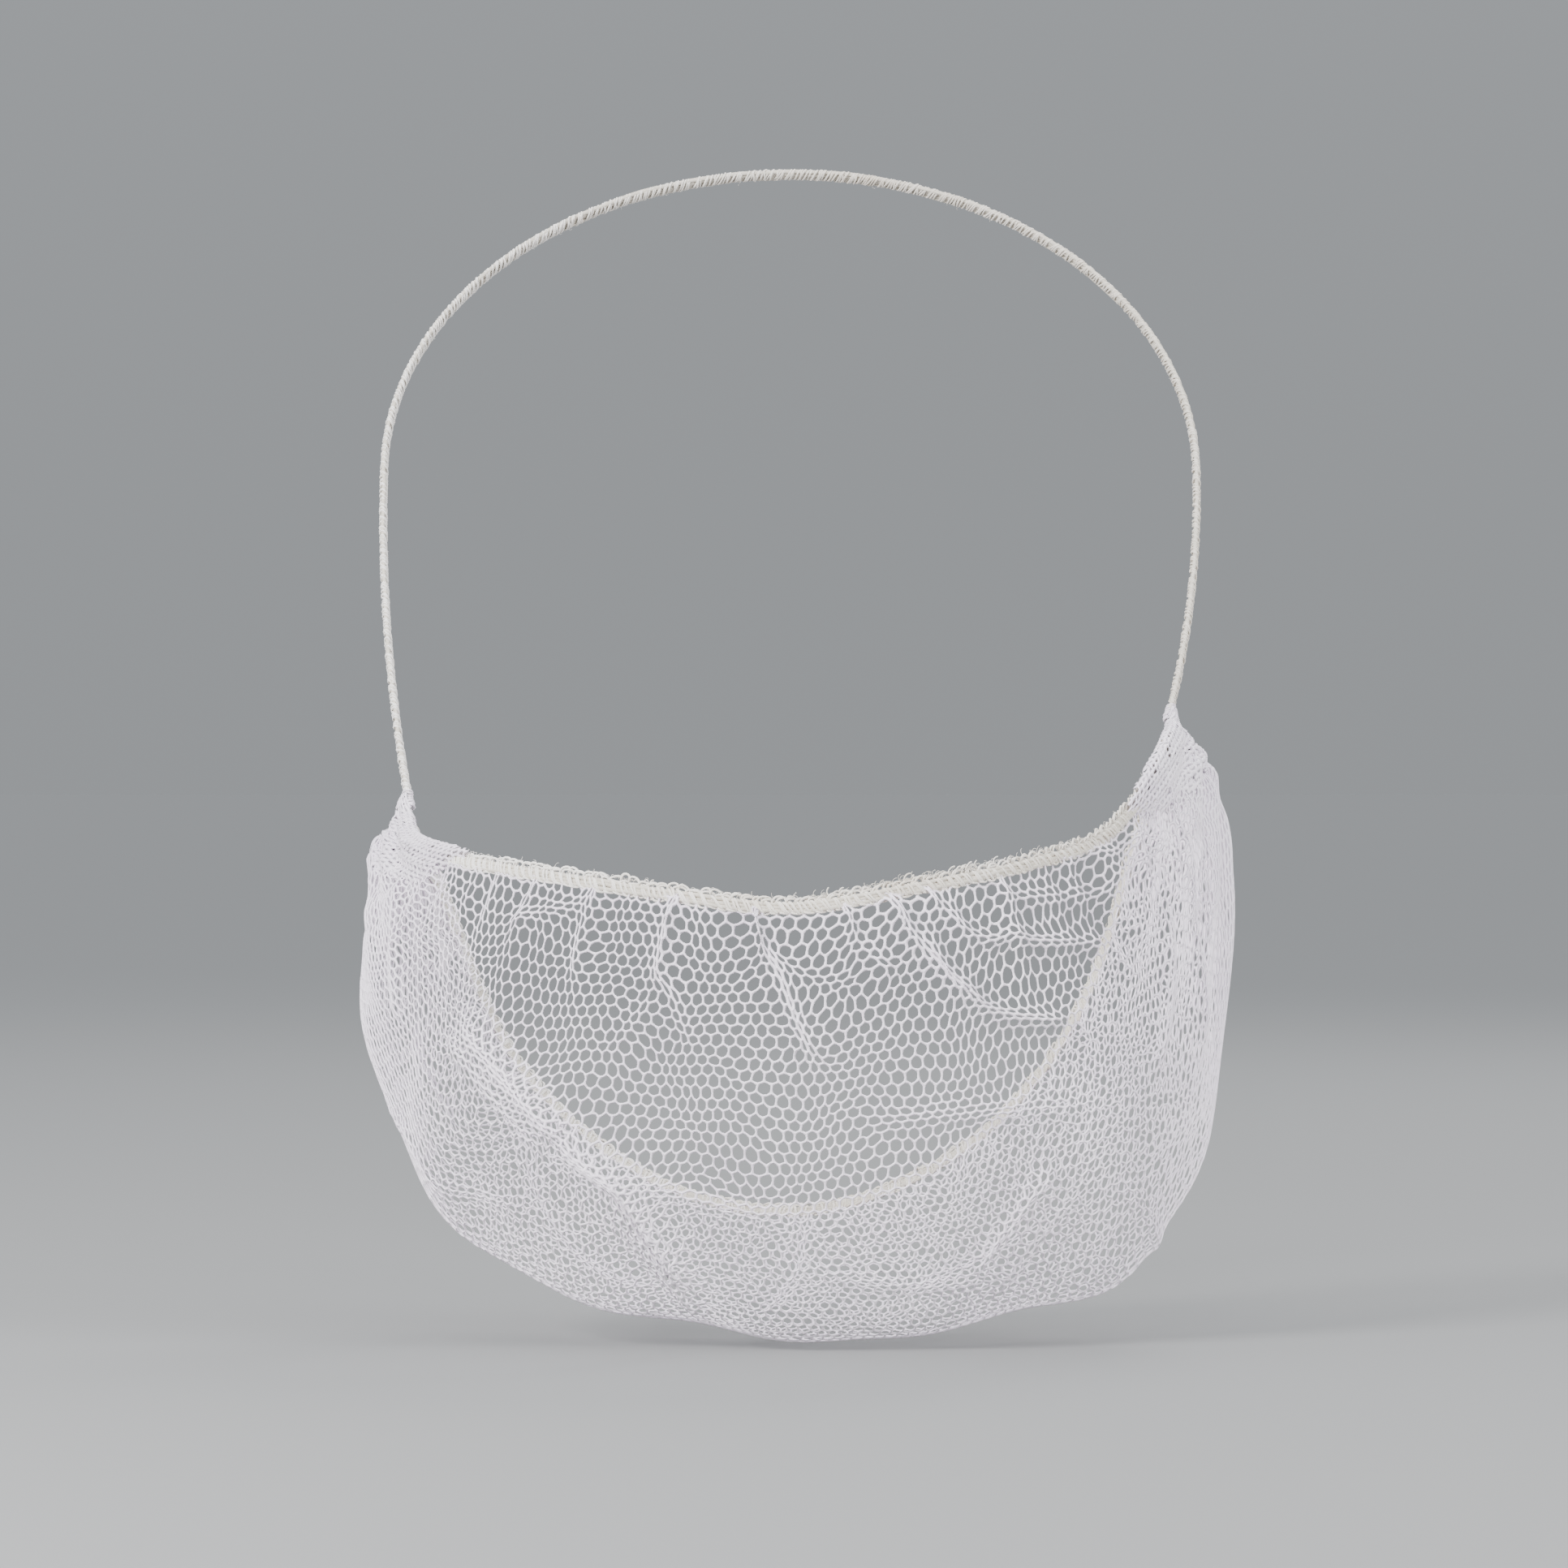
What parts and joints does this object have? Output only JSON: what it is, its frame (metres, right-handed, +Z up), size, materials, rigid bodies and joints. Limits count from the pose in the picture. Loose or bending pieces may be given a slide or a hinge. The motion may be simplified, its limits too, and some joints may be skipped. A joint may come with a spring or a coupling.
{
  "type": "beard cover",
  "caption": "Worn beard cover: a pouch of white honeycomb net with overlocked elastic edges, gathered in front of each ear onto an elastic strap that goes behind the crown.",
  "frame": {"origin": "middle of the head strap's inner face, where the strap sits on the back of the wearer's crown", "axes": "-Y is the front, the way the wearer looks; +Z is up; +X is the wearer's left"},
  "size_m": [0.1646, 0.1639, 0.2248],
  "materials": {
    "net": "white knitted nylon honeycomb net, slightly lilac, semi-matt",
    "elastic": "ivory overlocked elastic, matt, with small thread loops"
  },
  "bodies": {
    "root": {"net_pouch": "net", "front_binding": "elastic", "rear_binding": "elastic", "head_strap": "elastic"}
  },
  "joints": []
}
